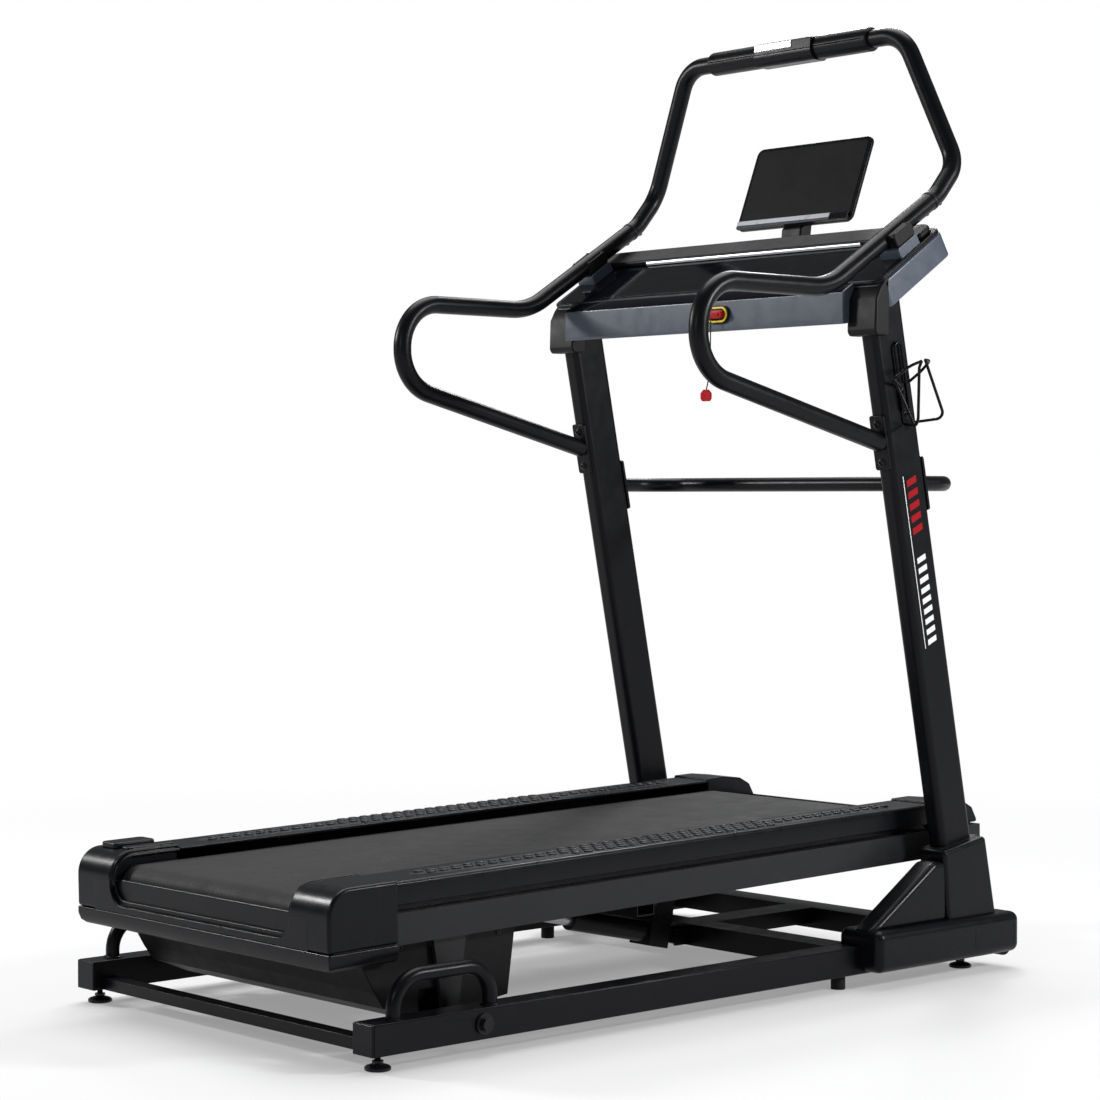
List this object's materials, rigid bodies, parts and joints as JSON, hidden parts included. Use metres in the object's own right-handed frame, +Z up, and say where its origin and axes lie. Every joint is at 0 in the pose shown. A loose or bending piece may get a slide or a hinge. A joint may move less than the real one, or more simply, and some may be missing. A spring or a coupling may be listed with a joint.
{
  "type": "treadmill",
  "caption": "Incline walking treadmill: cushioned belt deck on a rail frame, two leaning uprights, looped handrails, an arched handlebar and a sloping console with a tablet holder.",
  "frame": {"origin": "on the floor at the middle of the footprint, at the levelling discs' soles", "axes": "+X to the user's right, +Y forward from the step-on end to the console, +Z up"},
  "size_m": [0.9365, 1.5579, 1.767],
  "materials": {
    "powder_coat": "satin powder coat",
    "black_plastic": "fine satin grain",
    "slate_plastic": "satin grey-blue",
    "gloss_black": "glossy",
    "belt_rubber": "fine diamond texture",
    "foot_rubber": "matt",
    "plain_steel": "zinc plated",
    "black_steel": "black oxide",
    "wood_board": "waxed black faces",
    "circuit_board": "solder mask",
    "yellow_plastic": "glossy",
    "red_plastic": "glossy",
    "cord_black": "woven"
  },
  "bodies": {
    "frame": {"base_rail_left": "powder_coat", "base_rail_right": "powder_coat", "rear_cross_tube": "powder_coat", "front_subframe": "powder_coat", "transport_hoops": "powder_coat", "upright_left": "powder_coat", "upright_right": "powder_coat", "handrail_left": "powder_coat", "handrail_right": "powder_coat", "upper_handlebar": "powder_coat", "cross_bar": "powder_coat", "rail_end_caps": "black_plastic", "boot_left": "black_plastic", "boot_right": "black_plastic", "corner_caps": "black_plastic", "grip_lower_shell": "black_plastic", "grip_upper_shell": "black_plastic", "tablet_holder": "black_plastic", "console_tray": "slate_plastic", "handlebar_clamps": "slate_plastic", "console_fascia": "gloss_black", "mid_feet": "foot_rubber", "axle_bolts": "black_steel", "dome_bolts": "black_steel", "bottle_cage": "black_steel", "console_board": "circuit_board", "key_socket": "yellow_plastic"},
    "deck": {"deck_rail_left": "powder_coat", "deck_rail_right": "powder_coat", "deck_cross_members": "powder_coat", "deck_board": "wood_board", "deck_cushions": "foot_rubber", "walking_belt": "belt_rubber", "foot_rail_left": "black_plastic", "foot_rail_right": "black_plastic", "rear_cover": "black_plastic", "rear_cover_lower": "black_plastic", "deck_end_caps": "black_plastic", "motor_pan": "black_plastic", "roller_axles": "plain_steel", "motor_housing": "black_steel", "controller_board": "circuit_board", "drive_belt": "belt_rubber", "power_inlet": "black_plastic"},
    "drive_roller_body": {"drive_roller": "plain_steel"},
    "front_roller_body": {"front_roller": "plain_steel"},
    "motor_rotor_body": {"motor_rotor": "plain_steel"},
    "power_switch_body": {"power_switch": "black_plastic"},
    "lift_motor_body": {"lift_motor": "black_steel"},
    "lift_rod_body": {"lift_rod": "plain_steel"},
    "wheel_left_body": {"transport_wheel_left": "foot_rubber"},
    "wheel_right_body": {"transport_wheel_right": "foot_rubber"},
    "key_body": {"safety_key": "red_plastic", "lanyard_cord": "cord_black", "lanyard_clip": "red_plastic"},
    "foot_rear_left_body": {"levelling_foot_rear_left": "black_steel"},
    "foot_rear_right_body": {"levelling_foot_rear_right": "black_steel"},
    "foot_front_left_body": {"levelling_foot_front_left": "black_steel"},
    "foot_front_right_body": {"levelling_foot_front_right": "black_steel"}
  },
  "joints": [
    {"name": "incline", "type": "hinge", "parent": "frame", "child": "deck", "pos_m": [0, -0.513, 0.05], "axis": [1, 0, 0], "range_deg": [0, 8.5]},
    {"name": "drive_roller_spin", "type": "hinge", "parent": "deck", "child": "drive_roller_body", "pos_m": [0, -0.72156, 0.2233], "axis": [1, 0, 0], "continuous": true},
    {"name": "front_roller_spin", "type": "hinge", "parent": "deck", "child": "front_roller_body", "pos_m": [0, 0.64816, 0.25111], "axis": [1, 0, 0], "continuous": true},
    {"name": "motor_spin", "type": "hinge", "parent": "deck", "child": "motor_rotor_body", "pos_m": [0, -0.55425, 0.11117], "axis": [1, 0, 0], "continuous": true},
    {"name": "power_rocker", "type": "hinge", "parent": "deck", "child": "power_switch_body", "pos_m": [-0.211, -0.38277, 0.11366], "axis": [1, 0, 0], "range_deg": [-8, 0]},
    {"name": "lift_swing", "type": "hinge", "parent": "frame", "child": "lift_motor_body", "pos_m": [0, 0.308, 0.052], "axis": [1, 0, 0], "range_deg": [-7.6, 0]},
    {"name": "lift_extend", "type": "slide", "parent": "lift_motor_body", "child": "lift_rod_body", "axis": [0, -0.9766, 0.2149], "range_m": [0, 0.034]},
    {"name": "wheel_left_spin", "type": "hinge", "parent": "frame", "child": "wheel_left_body", "pos_m": [-0.43, 0.744, 0.044], "axis": [1, 0, 0], "continuous": true},
    {"name": "wheel_right_spin", "type": "hinge", "parent": "frame", "child": "wheel_right_body", "pos_m": [0.43, 0.744, 0.044], "axis": [1, 0, 0], "continuous": true},
    {"name": "safety_key_pull", "type": "slide", "parent": "frame", "child": "key_body", "axis": [0, -1, 0], "range_m": [0, 0.02]},
    {"name": "foot_rear_left_level", "type": "slide", "parent": "frame", "child": "foot_rear_left_body", "axis": [0, 0, -1], "range_m": [0, 0.01]},
    {"name": "foot_rear_right_level", "type": "slide", "parent": "frame", "child": "foot_rear_right_body", "axis": [0, 0, -1], "range_m": [0, 0.01]},
    {"name": "foot_front_left_level", "type": "slide", "parent": "frame", "child": "foot_front_left_body", "axis": [0, 0, -1], "range_m": [0, 0.01]},
    {"name": "foot_front_right_level", "type": "slide", "parent": "frame", "child": "foot_front_right_body", "axis": [0, 0, -1], "range_m": [0, 0.01]}
  ],
  "couplings": [
    {"joint": "front_roller_spin", "follows": "drive_roller_spin", "ratio": 1},
    {"joint": "motor_spin", "follows": "drive_roller_spin", "ratio": 2.4},
    {"joint": "lift_swing", "follows": "incline", "ratio": -0.8698},
    {"joint": "lift_extend", "follows": "incline", "m_per_rad": 0.22182}
  ]
}
